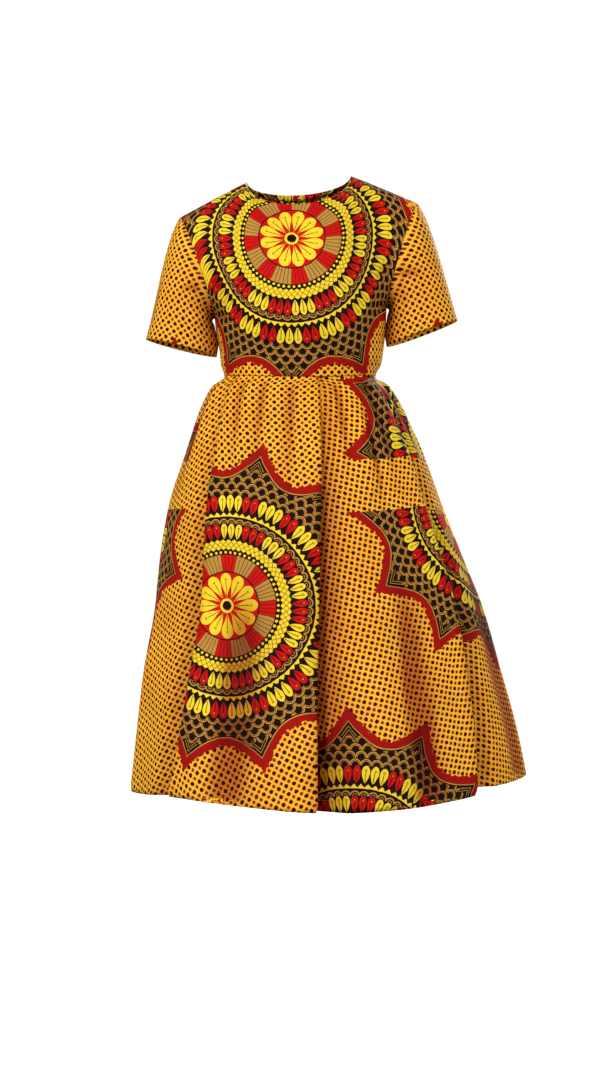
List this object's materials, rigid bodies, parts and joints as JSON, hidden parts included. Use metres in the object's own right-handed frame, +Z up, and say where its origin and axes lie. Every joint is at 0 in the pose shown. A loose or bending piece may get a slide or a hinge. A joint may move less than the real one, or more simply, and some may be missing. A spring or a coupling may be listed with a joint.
{
  "type": "fit-and-flare dress",
  "caption": "Midi dress in printed cotton with a fitted bodice, round neck, short set-in sleeves, waist seam, pleated flared skirt and a centre-back zip.",
  "frame": {"origin": "midway between the two side-neck points, at the height of the shoulders that carry the dress", "axes": "+Z up the wearer's body, -Y the way the dress faces, +X to the wearer's left"},
  "size_m": [0.6905, 0.5899, 1.0811],
  "materials": {
    "printed_cotton": "crisp plain-weave cotton, wax-resist print of dark dots on yellow with round medallions in red, yellow, ochre and black-brown, slight sheen",
    "zip_tape": "woven polyester zip tape with a closed nylon coil",
    "zip_metal": "lacquered die-cast zip slider and tab"
  },
  "bodies": {
    "dress": {"bodice_front": "printed_cotton", "bodice_back_left": "printed_cotton", "bodice_back_right": "printed_cotton", "sleeve_left": "printed_cotton", "sleeve_right": "printed_cotton", "skirt_front": "printed_cotton", "skirt_back_left": "printed_cotton", "skirt_back_right": "printed_cotton", "zip_tape": "zip_tape", "zip_slider": "zip_metal"},
    "pull_tab": {"zip_pull_tab": "zip_metal"}
  },
  "joints": [
    {"name": "pull_tab_swing", "type": "hinge", "parent": "dress", "child": "pull_tab", "pos_m": [0, 0.07159, -0.02465], "axis": [1, 0, 0], "range_deg": [0, 150]}
  ]
}
